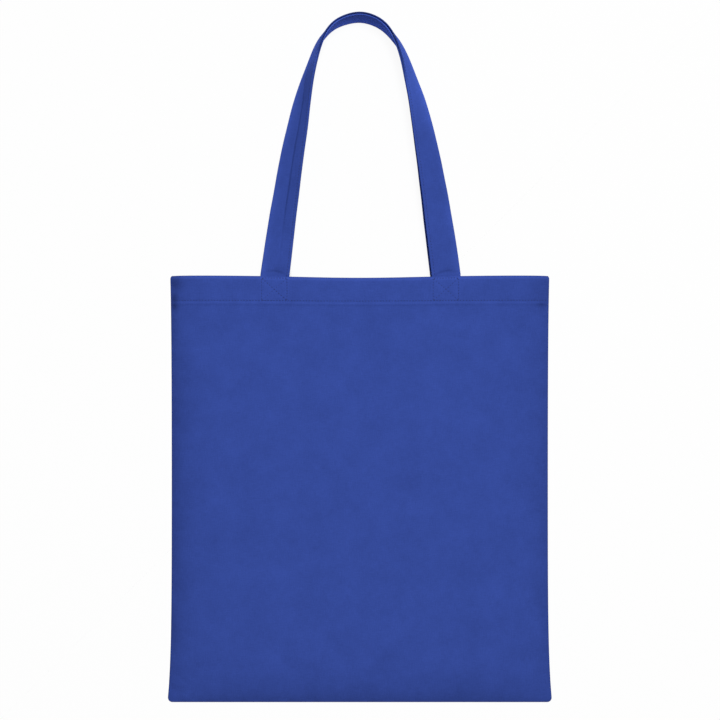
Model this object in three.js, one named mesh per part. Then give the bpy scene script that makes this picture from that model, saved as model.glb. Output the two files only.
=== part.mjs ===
// Cotton tote bag with two long handles, lying on its back.
// Millimetres: X runs across the bag, Y from its bottom seam towards its handles, Z is up.
import * as THREE from "three";

// Cloth
const CLOTH = 0.45; // one layer
const HEM_LAYERS = 3; // the mouth's edge is turned in twice
const SEAM_LAYERS = 2; // the panel and its turned-in allowance
const GAP = 0.3; // left between pieces that are sewn together

// Outline of the body, seen from above
const BODY_LENGTH = 420; // bottom seam to the corners of the mouth
const WAIST_HALF_WIDTH = 185.4; // where the sides are pulled in the most
const BOTTOM_FLARE = 4.3; // how much further out each bottom corner stands
const BOTTOM_FLARE_REACH = 42;
const MOUTH_FLARE = 1.5; // how much further out each corner of the mouth stands
const MOUTH_FLARE_REACH = 60;
const CORNER_RADIUS = 5; // bottom corners
const MOUTH_SAG = 2.3; // dip of the mouth's edge between the handles
const MOUTH_SAG_REACH = 85;
const HEM_DEPTH = 28;
const SEAM_ALLOWANCE = 8;

// Heights of the body
const SEAM_HEIGHT = 2; // the side and bottom seams lie just above the floor
const FRONT_ROLL = 1.6; // radius that the front panel rolls over into the seam
const BACK_ROLL = 4; // the back panel turns up into the seam over this distance
const EDGE_RISE = 20; // the front panel rises this much from its seams
const SIDE_RISE_REACH = 18;
const BOTTOM_RISE_REACH = 22;
const MOUTH_CLOSING = 0.4; // share of that rise that is lost at the hem
const MOUTH_CLOSING_REACH = 75;
const CROWN_RISE = 1.5; // more rise towards the middle

// Handles
const HANDLE_WIDTH = 28;
const HANDLE_THICKNESS = 1.8; // a strip folded into four layers
const FOLD_SLIT_DEPTH = 3; // the two folds along the sewn edge part this far
const FOLD_SLIT_WIDTH = 0.3;
const HANDLE_SEWN_LENGTH = 26; // held inside the hem at each end
const HANDLE_FOOT = new THREE.Vector2(84.3, BODY_LENGTH); // where a handle leaves the mouth
const HANDLE_RISE = 252.1; // from there to the top of the loop
const HANDLE_LEAN = THREE.MathUtils.degToRad(8.1); // towards the middle
const HANDLE_FOOT_PULL = 203; // lengths of the curve's two tangents
const HANDLE_TOP_PULL = 45;
const HANDLE_TWIST = THREE.MathUtils.degToRad(89.1); // flat at the mouth, on edge at the top
const TWIST_EASE_AT_FOOT = 0.04; // shares of the way up over which the twist begins and levels off
const TWIST_EASE_AT_TOP = 0.16;
const HANDLE_SPACING_AT_FOOT = 1; // the front handle lies this far outside the back handle
const HANDLE_SPACING_AT_TOP = 2.9;
const FRONT_SETTLES_BY = 0.85; // share of the way up at which a handle's lower edge is on the floor
const BACK_SETTLES_BY = 0.25;
const FREE_STATIONS = 38; // from the mouth to the top of the loop
const SEWN_STATIONS = 2;

// Grid lines of the panels past their edges, as distances from a seam, closer where the cloth curves more
const FRONT_SIDE_LINES = [13, 20, 30, 43, 60, 80, 103, 128, 156];
const FRONT_BOTTOM_LINES = [13, 20, 30, 43, 60, 83, 110, 140, 175, 215, 255, 290, 320, 345, 370];
const FRONT_EDGE_LINE = 4; // one more, between the roll and the seam allowance
const BACK_SIDE_LINES = [60, 100, 140];
const BACK_BOTTOM_LINES = [25, 50, 85, 140, 260, 340];

const COTTON_BLUE = 0x374c99;

// Half the body's width at a distance from the bottom seam.
function halfWidth(y) {
  const bottom = BOTTOM_FLARE * Math.exp(-y / BOTTOM_FLARE_REACH);
  const mouth = MOUTH_FLARE * Math.exp((y - BODY_LENGTH) / MOUTH_FLARE_REACH);
  return WAIST_HALF_WIDTH + bottom + mouth;
}

// The bottom edge is straight and turns up round the corners.
function bottomEdge(across) {
  const width = halfWidth(0);
  const intoCorner = Math.max(0, Math.abs(across) * width - (width - CORNER_RADIUS));
  return CORNER_RADIUS - Math.sqrt(Math.max(0, CORNER_RADIUS ** 2 - intoCorner ** 2));
}

// The edge of the mouth sags in the middle.
function mouthEdge(across) {
  const x = across * halfWidth(BODY_LENGTH);
  return BODY_LENGTH - MOUTH_SAG * Math.exp(-((x / MOUTH_SAG_REACH) ** 2));
}

// A point of a panel in plan, its distances from the sewn edges, and the cloth's normal there. "across" runs from
// -1 to 1 between the side seams and "along" from 0 to 1 between the bottom seam and the mouth.
function panelPlace(across, along, roll) {
  const y = THREE.MathUtils.lerp(bottomEdge(across), mouthEdge(across), along);
  const width = halfWidth(y);
  const fromSide = (1 - Math.abs(across)) * width;
  const fromBottom = y - bottomEdge(across);
  const out = new THREE.Vector2(
    Math.sign(across) * Math.max(0, 1 - fromSide / roll),
    -Math.max(0, 1 - fromBottom / roll),
  );
  if (out.length() > 1) out.normalize();
  const up = Math.sqrt(Math.max(0, 1 - out.lengthSq()));
  return { across, along, x: across * width, y, fromSide, fromBottom, out, up };
}

// Thickness of a panel, by the layers that lie on one another.
function panelThickness(place) {
  if (BODY_LENGTH * (1 - place.along) < HEM_DEPTH) return HEM_LAYERS * CLOTH;
  const fromSeam = Math.min(place.fromSide, place.fromBottom);
  return (fromSeam < SEAM_ALLOWANCE ? SEAM_LAYERS : 1) * CLOTH;
}

// How far the front panel stands above its seams, past the roll at its edges. It lies lower along the hem.
function frontRise(place) {
  const belowHemEdge = Math.max(0, BODY_LENGTH * (1 - place.along) - HEM_DEPTH);
  const fullness = 1 - MOUTH_CLOSING * Math.exp(-((belowHemEdge / MOUTH_CLOSING_REACH) ** 2));
  const fromSides = 1 - Math.exp(-place.fromSide / (SIDE_RISE_REACH * fullness));
  const fromBottom = 1 - Math.exp(-place.fromBottom / BOTTOM_RISE_REACH);
  const upToHem = Math.min(1, place.along / (1 - HEM_DEPTH / BODY_LENGTH));
  const crown = Math.cos((place.across * Math.PI) / 2) ** 2 * Math.sin(upToHem * Math.PI) ** 2;
  return EDGE_RISE * fullness * fromSides * fromBottom + CROWN_RISE * crown;
}

// The outer and inner points of a panel at one place, the inner one in along the normal.
function clothPair(place, z, facing) {
  const outer = new THREE.Vector3(place.x, place.y, z);
  const normal = new THREE.Vector3(place.out.x, place.out.y, facing * place.up);
  return [outer, outer.clone().addScaledVector(normal, -panelThickness(place))];
}

function frontPair(across, along) {
  const place = panelPlace(across, along, FRONT_ROLL);
  return clothPair(place, SEAM_HEIGHT + FRONT_ROLL * place.up + frontRise(place), 1);
}

function backPair(across, along) {
  const place = panelPlace(across, along, BACK_ROLL);
  return clothPair(place, (SEAM_HEIGHT - GAP) * (1 - place.up), -1);
}

// Grid lines at these distances from each side seam, as shares of the half width from -1 to 1.
function columnsAt(distances) {
  const right = distances.map((distance) => 1 - distance / halfWidth(BODY_LENGTH));
  const left = right.map((share) => -share).filter((share) => share !== 0);
  return [...left, ...right.reverse()];
}

// Grid lines at these distances from the bottom seam, with one each side of the hem's edge and one at the mouth.
function rowsAt(distances) {
  const step = CLOTH;
  const hemEdge = BODY_LENGTH - HEM_DEPTH;
  return [...distances, hemEdge - step, hemEdge + step, BODY_LENGTH].map((y) => y / BODY_LENGTH);
}

// A closed sheet of cloth from a grid of outer and inner points: both faces, and a rim round the four edges.
function sheetSolid(columns, rows, pairAt) {
  const OUTER = 0;
  const INNER = 1;
  const positions = [];
  const indices = [];
  for (const across of columns) {
    for (const along of rows) {
      for (const point of pairAt(across, along)) positions.push(...point.toArray());
    }
  }
  const at = (column, row, face) => 2 * (column * rows.length + row) + face;
  const quad = (a, b, c, d) => indices.push(a, b, c, a, c, d);
  const rim = (from, to) => quad(at(...from, OUTER), at(...to, OUTER), at(...to, INNER), at(...from, INNER));
  const lastColumn = columns.length - 1;
  const lastRow = rows.length - 1;
  for (let i = 0; i < lastColumn; i++) {
    for (let j = 0; j < lastRow; j++) {
      const corners = [[i, j], [i + 1, j], [i + 1, j + 1], [i, j + 1]];
      quad(...corners.map((corner) => at(...corner, OUTER)));
      quad(...corners.map((corner) => at(...corner, INNER)).reverse());
    }
  }
  for (let i = 0; i < lastColumn; i++) {
    rim([i + 1, 0], [i, 0]);
    rim([i, lastRow], [i + 1, lastRow]);
  }
  for (let j = 0; j < lastRow; j++) {
    rim([0, j], [0, j + 1]);
    rim([lastColumn, j + 1], [lastColumn, j]);
  }
  return new THREE.BufferGeometry()
    .setAttribute("position", new THREE.Float32BufferAttribute(positions, 3))
    .setIndex(indices);
}

// A rolled edge is cut at its seam, half way round and where it ends.
function rollDistances(roll) {
  return [0, roll * (1 - Math.SQRT1_2), roll];
}

// One grid line each side of the step at the seam allowance.
const ALLOWANCE_STEP = [SEAM_ALLOWANCE - CLOTH, SEAM_ALLOWANCE + CLOTH];

function frontPanel() {
  const edges = [...rollDistances(FRONT_ROLL), FRONT_EDGE_LINE, ...ALLOWANCE_STEP];
  const columns = columnsAt([...edges, ...FRONT_SIDE_LINES, halfWidth(BODY_LENGTH)]);
  const rows = rowsAt([...edges, ...FRONT_BOTTOM_LINES]);
  return sheetSolid(columns, rows, frontPair);
}

function backPanel() {
  const edges = [...rollDistances(BACK_ROLL), ...ALLOWANCE_STEP];
  const columns = columnsAt([...edges, ...BACK_SIDE_LINES, halfWidth(BODY_LENGTH)]);
  const rows = rowsAt([...edges, ...BACK_BOTTOM_LINES]);
  return sheetSolid(columns.reverse(), rows, backPair);
}

// Section of a handle, across its width and through its thickness: one rounded fold at the outer edge, and two
// folds with a slit between them at the inner, sewn edge.
function handleSection() {
  const side = HANDLE_WIDTH / 2;
  const face = HANDLE_THICKNESS / 2;
  const half = [
    [-side, 0],
    [face - side, face],
    [0, face],
    [side - face / 2, face],
    [side, face / 2],
    [side - face / 2, FOLD_SLIT_WIDTH / 2],
    [side - FOLD_SLIT_DEPTH, 0],
  ];
  const onAxis = [0, half.length - 1];
  const lower = half.map(([w, n]) => [w, -n]);
  const upper = half.filter((_, i) => !onAxis.includes(i)).reverse();
  return [...lower, ...upper].map(([w, n]) => new THREE.Vector2(w, n));
}

// Right half of the handles' common route in plan, from the mouth to the top of the loop.
function handleRoute() {
  const top = new THREE.Vector2(0, HANDLE_FOOT.y + HANDLE_RISE);
  const leaning = new THREE.Vector2(-Math.sin(HANDLE_LEAN), Math.cos(HANDLE_LEAN));
  const footTangent = HANDLE_FOOT.clone().addScaledVector(leaning, HANDLE_FOOT_PULL);
  return new THREE.CubicBezierCurve(HANDLE_FOOT, footTangent, top.clone().setX(HANDLE_TOP_PULL), top);
}

// Share of the whole twist at a share of the way up: it begins gently, grows evenly and levels off at the top.
function handleTurn(way) {
  const begun = Math.hypot(way, TWIST_EASE_AT_FOOT) - TWIST_EASE_AT_FOOT;
  const left = Math.hypot(1 - way, TWIST_EASE_AT_TOP) - TWIST_EASE_AT_TOP;
  return begun / (begun + left);
}

// Where a handle is at "way", which is 0 at the mouth, 1 at the top of the loop and below 0 inside the hem: its
// centre, and the directions across its width and out of its face.
function handleStation(route, way, handle) {
  const free = Math.max(0, way);
  const sewn = Math.min(0, way) * HANDLE_SEWN_LENGTH;
  const tangent = way < 0 ? new THREE.Vector2(0, 1) : route.getTangentAt(free);
  const inward = new THREE.Vector3(-tangent.y, tangent.x, 0);
  const up = new THREE.Vector3(0, 0, 1);
  const twist = HANDLE_TWIST * handleTurn(free);
  const across = inward.clone().multiplyScalar(Math.cos(twist)).addScaledVector(up, Math.sin(twist));
  const through = inward.clone().multiplyScalar(-Math.sin(twist)).addScaledVector(up, Math.cos(twist));
  const onEdge = (HANDLE_WIDTH / 2) * Math.sin(twist) + (HANDLE_THICKNESS / 2) * Math.abs(Math.cos(twist));
  const lift = handle.footHeight * (1 - THREE.MathUtils.smoothstep(free, 0, handle.settlesBy));
  const spacing = THREE.MathUtils.lerp(HANDLE_SPACING_AT_FOOT, HANDLE_SPACING_AT_TOP, free);
  const plan = route.getPointAt(free);
  const centre = new THREE.Vector3(plan.x, plan.y + sewn, onEdge + lift);
  centre.addScaledVector(inward, (-handle.side * spacing) / 2);
  return { centre, across, through };
}

// The same station on the left half of the loop.
function mirrored(station) {
  const flip = (vector) => vector.clone().setX(-vector.x);
  return { centre: flip(station.centre), across: flip(station.across), through: flip(station.through) };
}

// A closed solid through rings of points that follow one section, with flat ends. Each four-sided facet is cut
// along its shorter diagonal, so that two twisted strips side by side are cut alike.
function loftSolid(section, rings) {
  const points = rings.flat();
  const positions = points.flatMap((point) => point.toArray());
  const indices = [];
  const count = section.length;
  const at = (ring, i) => ring * count + (i % count);
  for (let ring = 0; ring < rings.length - 1; ring++) {
    for (let i = 0; i < count; i++) {
      const [a, b, c, d] = [at(ring, i), at(ring, i + 1), at(ring + 1, i + 1), at(ring + 1, i)];
      const shorter = points[a].distanceTo(points[c]) < points[b].distanceTo(points[d]);
      indices.push(...(shorter ? [a, b, c, a, c, d] : [a, b, d, b, c, d]));
    }
  }
  for (const [a, b, c] of THREE.ShapeUtils.triangulateShape(section, [])) {
    indices.push(at(0, c), at(0, b), at(0, a));
    indices.push(at(rings.length - 1, a), at(rings.length - 1, b), at(rings.length - 1, c));
  }
  return new THREE.BufferGeometry()
    .setAttribute("position", new THREE.Float32BufferAttribute(positions, 3))
    .setIndex(indices);
}

// A handle from one end in the hem, round the loop, to the other end.
function handleSolid(handle) {
  const route = handleRoute();
  const section = handleSection();
  const ways = [];
  for (let i = SEWN_STATIONS; i > 0; i--) ways.push(-i / SEWN_STATIONS);
  for (let i = 0; i < FREE_STATIONS; i++) ways.push(i / FREE_STATIONS);
  const right = ways.map((way) => handleStation(route, way, handle));
  const left = right.map(mirrored).reverse();
  const stations = [...right, handleStation(route, 1, handle), ...left];
  const rings = stations.map(({ centre, across, through }) =>
    section.map((p) => centre.clone().addScaledVector(across, p.x).addScaledVector(through, p.y)),
  );
  return loftSolid(section, rings);
}

// The front handle's ends lie under the front hem and the back handle's on the back hem.
const HEM_THICKNESS = HEM_LAYERS * CLOTH;
const FRONT_HEM_INSIDE = SEAM_HEIGHT + FRONT_ROLL + EDGE_RISE * (1 - MOUTH_CLOSING) - HEM_THICKNESS;
const FRONT_HANDLE = {
  side: 1,
  footHeight: FRONT_HEM_INSIDE - GAP - HANDLE_THICKNESS,
  settlesBy: FRONT_SETTLES_BY,
};
const BACK_HANDLE = {
  side: -1,
  footHeight: HEM_THICKNESS + GAP,
  settlesBy: BACK_SETTLES_BY,
};

function piece(name, geometry) {
  geometry.computeVertexNormals();
  const cotton = new THREE.MeshStandardMaterial({ color: COTTON_BLUE, roughness: 0.9, metalness: 0 });
  const mesh = new THREE.Mesh(geometry, cotton);
  mesh.name = name;
  return mesh;
}

const bag = new THREE.Group();
bag.name = "cotton_tote_bag";
bag.add(
  piece("front_panel", frontPanel()),
  piece("back_panel", backPanel()),
  piece("front_handle", handleSolid(FRONT_HANDLE)),
  piece("back_handle", handleSolid(BACK_HANDLE)),
);

// The origin is on the floor under the middle of the whole bag.
const extent = new THREE.Box3().setFromObject(bag);
const middle = extent.getCenter(new THREE.Vector3());
bag.position.set(-middle.x, -middle.y, -extent.min.z);

export default bag;
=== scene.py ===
"""Cotton tote bag lying on its back: cloth panels with a turned hem, folded handles and sewing thread.
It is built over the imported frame, under soft studio light. Metres, in the frame's own axes."""
import math
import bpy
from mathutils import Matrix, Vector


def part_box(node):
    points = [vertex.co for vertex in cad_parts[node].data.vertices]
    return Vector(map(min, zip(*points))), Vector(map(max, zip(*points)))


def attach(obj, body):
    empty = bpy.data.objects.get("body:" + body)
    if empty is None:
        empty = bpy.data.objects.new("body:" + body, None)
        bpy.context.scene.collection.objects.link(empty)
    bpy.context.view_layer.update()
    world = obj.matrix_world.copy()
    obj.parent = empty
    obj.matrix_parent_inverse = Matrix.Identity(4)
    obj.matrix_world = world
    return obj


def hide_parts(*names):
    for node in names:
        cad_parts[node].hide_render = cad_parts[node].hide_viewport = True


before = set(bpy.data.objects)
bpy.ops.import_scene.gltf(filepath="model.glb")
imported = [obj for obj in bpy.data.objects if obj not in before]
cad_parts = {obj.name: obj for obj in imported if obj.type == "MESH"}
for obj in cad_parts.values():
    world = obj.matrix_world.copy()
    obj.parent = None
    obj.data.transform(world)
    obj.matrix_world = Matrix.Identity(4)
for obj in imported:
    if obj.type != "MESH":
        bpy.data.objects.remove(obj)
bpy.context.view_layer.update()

from types import SimpleNamespace

import bmesh
import bpy
import numpy as np

MM = 0.001

# Sizes from the frame
panel_low, panel_high = (np.array(corner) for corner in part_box("front_panel"))
back_high = np.array(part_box("back_panel")[1])
BOTTOM_Y = panel_low[1]
BODY_LENGTH = panel_high[1] - panel_low[1]
SEAM_HEIGHT = panel_low[2]
BACK_SEAM_HEIGHT = back_high[2]

# Cloth
CLOTH = 0.45 * MM
HEM_LAYERS = 3
HEM_THICKNESS = HEM_LAYERS * CLOTH
HEM_DEPTH = 28 * MM
SEAM_ALLOWANCE = 8 * MM
SEWN_GAP = SEAM_HEIGHT - BACK_SEAM_HEIGHT

# Outline of the body, seen from above
BOTTOM_FLARE = 4.3 * MM
BOTTOM_FLARE_REACH = 42 * MM
MOUTH_FLARE = 1.5 * MM
MOUTH_FLARE_REACH = 60 * MM
CORNER_RADIUS = 5 * MM
MOUTH_CORNER_RADIUS = 2.6 * MM
WAIST_HALF_WIDTH = panel_high[0] - BOTTOM_FLARE * math.exp(-CORNER_RADIUS / BOTTOM_FLARE_REACH)
MOUTH_SAG = 2.3 * MM
MOUTH_SAG_REACH = 85 * MM
HEM_SAG = 0.9 * MM

# Heights of the body
FRONT_ROLL = 1.6 * MM
BACK_ROLL = 4 * MM
EDGE_RISE = 20 * MM
SIDE_RISE_REACH = 18 * MM
BOTTOM_RISE_REACH = 22 * MM
MOUTH_CLOSING = 0.4
MOUTH_CLOSING_REACH = 75 * MM
CROWN_RISE = 1.5 * MM

# Handles
HANDLE_WIDTH = 28.2 * MM
HANDLE_THICKNESS = 1.2 * MM
HANDLE_SEWN_LENGTH = 26 * MM
HANDLE_TOP = np.array([-0.8 * MM, BODY_LENGTH + 249.9 * MM])
HANDLE_PEAK = 2.5 * MM
HANDLE_PEAK_REACH = 15 * MM
HANDLE_SPACING_AT_TOP = 1.7 * MM
SHOULDER_WAY = 0.86
SHOULDER_REACH = 0.1
SHOULDER_END_POWER = 8
SLACK_WAY = 0.55
SLACK_REACH = 0.25
BOW_WAY = 0.55
BOW_REACH = 0.22
FRONT_HEM_INSIDE = SEAM_HEIGHT + FRONT_ROLL + EDGE_RISE * (1 - MOUTH_CLOSING) - HEM_THICKNESS

# The two halves of the loop, each as its cloth fell: the route, how the twist eases, how far the two handles
# lie apart, how much twist they let out, and how far the back one bows out half way up
LEFT = SimpleNamespace(
    mirror=-1, foot=83.5 * MM, lean=math.radians(7.7), foot_pull=243 * MM, top_pull=37.7 * MM,
    twist_ease_at_foot=0.005, twist_ease_at_top=0.141,
    spacing_at_foot=-1.1 * MM, spacing_at_shoulder=1.7 * MM,
    slack=math.radians(12), back_bow=0,
)
RIGHT = SimpleNamespace(
    mirror=1, foot=84.1 * MM, lean=math.radians(7.5), foot_pull=248 * MM, top_pull=31.6 * MM,
    twist_ease_at_foot=0.005, twist_ease_at_top=0.094,
    spacing_at_foot=1 * MM, spacing_at_shoulder=2.4 * MM,
    slack=math.radians(10.5), back_bow=1.1 * MM,
)

# The two handles: the front one outside the back one, each swung a little at the left and right shoulders
FRONT_HANDLE = SimpleNamespace(
    side=1, foot_height=FRONT_HEM_INSIDE - SEWN_GAP - HANDLE_THICKNESS, settles_by=0.9,
    twist=math.radians(94), swing={-1: math.radians(-6), 1: math.radians(-3.6)},
)
BACK_HANDLE = SimpleNamespace(
    side=-1, foot_height=HEM_THICKNESS + SEWN_GAP, settles_by=0.25,
    twist=math.radians(93.4), swing={-1: math.radians(-0.4), 1: math.radians(4.4)},
)
HANDLE_FEET = (LEFT.mirror * LEFT.foot, RIGHT.mirror * RIGHT.foot)
MEAN_FOOT = (LEFT.foot + RIGHT.foot) / 2

# Sewing
STITCH_PITCH = 2.9 * MM
STITCH_LENGTH = 1.5 * MM
THREAD_RADIUS = 0.29 * MM
HEM_STITCH_DROP = 24.2 * MM
HANDLE_STITCH_INSET = 2.8 * MM
BOX_HALF_WIDTH = 12.4 * MM
BOX_TOP_DROP = 2.3 * MM
BOX_SIDES = 4
GROOVE_WIDTH = 0.9 * MM
GROOVE_DEPTH = 0.12 * MM
BACK_GROOVE_DEPTH = 0.5 * MM
HEM_STITCH_INSET = 3 * MM
DIAGONAL_SINKS = ((0, 0.28 * MM), (0.16 * MM, 0.2 * MM))
HANDLE_STITCH_SINK = 0.24 * MM
HANDLE_GROOVE_SHARE = 0.3
THREAD_GIRTH = 6 * THREAD_RADIUS
THREAD_SIDES = 7

# Relief of the hem and of the handles' ends behind it
HEM_PROUD = 0.3 * MM
HEM_STEP = (HEM_DEPTH - 0.6 * MM, HEM_DEPTH + 1.2 * MM)
HEM_RIDGE = 26.6 * MM
HEM_LIP = 0.14 * MM
HEM_LIP_WIDTH = 0.9 * MM
HEM_PULL = 0.16 * MM
HEM_PULL_PITCH = 11 * MM
HEM_PULL_REACH = 8 * MM
BOX_SIDE_STEP = (HANDLE_WIDTH / 2 - 1.2 * MM, HANDLE_WIDTH / 2 + 1.6 * MM)
BOX_END_STEP = (HEM_DEPTH - 2.5 * MM, HEM_DEPTH + 0.5 * MM)
BOX_FILL = 0.45 * MM
BOX_FILL_REACH = 2.2 * MM
BOX_GROOVE_DEPTH = 0.05 * MM

# Relief of the panels; each form starts a little way in from the seams
SEAM_PUCKER = 0.3 * MM
SIDE_PUCKER_PITCH = 17 * MM
SIDE_PUCKER_REACH = 13 * MM
BOTTOM_PUCKER_PITCH = 19 * MM
BOTTOM_PUCKER_REACH = 15 * MM
SEAM_PUCKER_FADE_IN = 5 * MM
SEAM_PUCKER_START = 3 * MM
DENT_START = 3 * MM
RELIEF_START = 2 * MM
WAVE_START = 25 * MM
BROAD_WAVE = 0.35 * MM
BROAD_WAVE_PITCH = 95 * MM
BROAD_WAVE_DROPS = (10 * MM, 70 * MM)
FINE_WAVE = 0.045 * MM
FINE_WAVE_PITCH = 24 * MM
RUCK = 0.35 * MM
RUCK_PITCH = 80 * MM
RUCK_START = (4 * MM, 30 * MM)

# Dents at the corners of the mouth, where the side seam is bulky: side, distance from it, drop, reach
# across, reach down and depth
CORNER_DENTS = [
    (-1, 5 * MM, 7 * MM, 6 * MM, 7 * MM, 1.3 * MM),
    (-1, 3 * MM, 22 * MM, 5 * MM, 4.5 * MM, 1.1 * MM),
    (-1, 3 * MM, 30 * MM, 4.5 * MM, 4.5 * MM, 1.4 * MM),
    (1, 7 * MM, 29 * MM, 5 * MM, 3 * MM, 0.9 * MM),
]
FAR_AWAY = 1

# The left part of both handles keeps a lengthwise crease, which leaves over the outer edge further up
CREASE_ACROSS = 1.8 * MM
CREASE_LEAVES = (0.61, 0.85)
CREASE_FURTHEST = 0.98
CREASE_DEPTH_AT_FOOT = 0.5 * MM
CREASE_DEPTH_AT_TOP = 1.2 * MM
CREASE_SOFTNESS = 0.5 * MM
CREASE_STARTS = (0, 0.12)
CREASE_ENDS = (0.62, 0.8)
CREASE_MARK = 0.3 * MM
CREASE_MARK_WIDTH = 0.8 * MM

# A bowed dent at each foot of a handle, and slight waves along it
FOOT_PUCKER = 0.4 * MM
FOOT_PUCKER_HEIGHT = 4.5 * MM
FOOT_PUCKER_BOW = 2.6 * MM
FOOT_PUCKER_BOW_REACH = 10 * MM
FOOT_PUCKER_WIDTH = 1.1 * MM
FOOT_PUCKER_REACH = 9 * MM
HANDLE_WAVE = 0.1 * MM
HANDLE_WAVE_PITCH = 46 * MM
HANDLE_WAVE_STARTS = (0, 0.12)

# Seeds of the uneven forms
HEM_PULL_SEED = 5
BROAD_WAVE_SEED = 11
FINE_WAVE_SEED = 12
RIGHT_SEAM_SEED = 21
LEFT_SEAM_SEED = 22
BOTTOM_SEAM_SEED = 23
RUCK_SEED = 31
HANDLE_WAVE_SEED = 42

# Painted light and shade of the front panel, as shares lighter or darker than the dye
# Painted highlight along the rolled edge of the mouth, where the fold catches the light
MOUTH_EDGE_HIGHLIGHT = 0.2
MOUTH_EDGE_DROP = 2 * MM
MOUTH_EDGE_WIDTH = 1.1 * MM
MOUTH_HIGHLIGHT = 0.06
MOUTH_HIGHLIGHT_REACH = 5 * MM
# Painted highlight along the hem's ridge, and painted shade on the slope just under it
RIDGE_HIGHLIGHT = 0.09
RIDGE_HIGHLIGHT_WIDTH = 0.7 * MM
UNDER_RIDGE_SHADE = -0.05
UNDER_RIDGE_DROP = 2.2 * MM
UNDER_RIDGE_WIDTH = 1.2 * MM
# Painted highlight over the handles' ends, where the hem bulges over them
BOX_HIGHLIGHT = 0.03
# Painted shade along the side and bottom seams, where the cloth rolls away from the light
SIDE_SEAM_SHADE = -0.1
LEFT_SEAM_SHADE_REACH = 8 * MM
RIGHT_SEAM_SHADE_REACH = 28 * MM
BOTTOM_SEAM_SHADE = -0.11
BOTTOM_SEAM_SHADE_REACH = 5 * MM
# Painted shade on the hem towards the side seams
HEM_END_SHADE = -0.045
HEM_END_SIDES = (20 * MM, 70 * MM)
HEM_END_DROPS = (23 * MM, 29 * MM)
# Painted shade in the dents at the corners of the mouth, per mm of their depth
DENT_SHADE = 0.2 / MM

# Painted light and shade of the handles. A step is a tone and the two shares of the way up between which it
# comes in.
# Painted highlights on the handles' faces as they turn towards the shoulders
LEFT_TURN_HIGHLIGHTS = ((0.11, 0.3, 0.6), (0.5, 0.7, 0.78))
RIGHT_TURN_HIGHLIGHTS = ((0.48, 0.46, 0.72), (0.15, 0.72, 0.82))
LEFT_OUTER_HIGHLIGHT = (0.26, 0.42, 0.66)
RIGHT_OUTER_HIGHLIGHT = (0.26, 0.38, 0.62)
# Painted shade along the front handle's edge that is uppermost at the top, partly lifted again near the top
LEFT_EDGE_SHADE_STEP = (-0.8, 0.73, 0.82)
RIGHT_EDGE_SHADE_STEP = (-0.8, 0.67, 0.76)
TOP_EDGE_STEP = (0.4, 0.88, 0.95)
TOP_EDGE_INSETS = (1.7 * MM, 0.6 * MM)
# Painted highlight over the outer part and along the outer edge of the front handle, fading out at the top
OUTER_PART = 0.3
OUTER_EDGE_HIGHLIGHT = 0.14
OUTER_EDGE_PART = -0.4
FACE_TONE_ENDS = (0.9, 0.98)
# Painted shade along the left strap's crease and on its inner side
CREASE_SHADE = -0.42
CREASE_SHADE_WIDTH = 0.7 * MM
CREASE_SHADE_STARTS = (0.12, 0.3)
CREASE_SHADE_ENDS = (0.76, 0.84)
CREASE_SIDE_SHADE = -0.03
CREASE_SIDE_REACH = 1.5 * MM
# Painted shadow at one spot on the left strap just above the mouth, and painted shade in the bowed dents at
# the handles' feet
FOOT_SHADOW = -0.14
FOOT_SPOT_PLACE = (3 * MM, 7 * MM)
FOOT_SPOT_REACH = (7 * MM, 5 * MM)
FOOT_PUCKER_SHADE = -0.5 / MM
# Painted highlight on the back handle's inner face near the top of the loop, strongest at the shoulders
BACK_HIGHLIGHT = 0.36
BACK_LOWER_HIGHLIGHT = 0.28
BACK_TURN_HIGHLIGHT = 0.32
BACK_HIGHLIGHT_STARTS = (0.8, 0.88)
BACK_LEFT_TURN_ENDS = (0.88, 1)
BACK_RIGHT_TURN_ENDS = (0.87, 0.97)

# Fineness of the meshes
FRONT_STEP = 2.6 * MM
BACK_STEP = 4 * MM
ROLL_ROWS = 6
EDGE_BAND = 22 * MM
EDGE_START = 0.7 * MM
EDGE_STEP = 1.1 * MM
BOX_MARGIN = 3 * MM
BOX_COLUMN_STEP = 0.9 * MM
FOLD_ROWS = 9
HEM_MARGIN = 6 * MM
HEM_ROW_START = 0.3 * MM
HEM_ROW_STEP = 0.75 * MM
HEM_INSIDE_START = 0.8 * MM
HEM_INSIDE_STEP = 1.5 * MM
ROUTE_POINTS = 2001
HANDLE_STEP = 3 * MM
FOOT_BAND = 12 * MM
FOOT_STEP = 0.8 * MM
SEWN_STEP = 3.2 * MM
SHARP_EDGE = math.radians(50)

# Folds of a handle's strip
RAW_EDGE_GAP = 2 * MM
FOLD_EASE = 0.2 * MM
LAYER_HALF_SHARE = 0.46
TURNED_IN_POINTS = 7
FACE_POINTS = 34
TIGHT_FOLD_POINTS = 7
WIDE_FOLD_POINTS = 9

# Looks of the cloth and the thread
BLUE = np.array([0.0382, 0.0735, 0.339])
# How far the painted light and shade of the tone attribute, and the cloth's noises, reach lighter or darker
# than the dye
TONE_RANGE = 0.8
WEAVE_PITCH = 0.55 * MM
WEAVE_RELIEF = 0.12 * MM
WEAVE_STRENGTH = 0.4
# The weave's share of the colour paints the thread crowns lighter and the gaps between them darker,
# following the weave's relief
WEAVE_LIGHT_AND_SHADE_SHARE = 0.06
SLUB_WIDTH = 1.4
SLUB_LENGTH = 14
SLUB_RELIEF = 0.2 * MM
SLUB_STRENGTH = 0.2
SLUB_SHARE = 0.105
FIBRE_SIZE = 1.3 * MM
FIBRE_SHARE = 0.12
DYE_SIZE = 30 * MM
DYE_DETAIL = 4
DYE_ROUGHNESS = 0.72
DYE_SHARE = 0.185
SHEEN_TINT = (0.2, 0.35, 1, 1)
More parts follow.
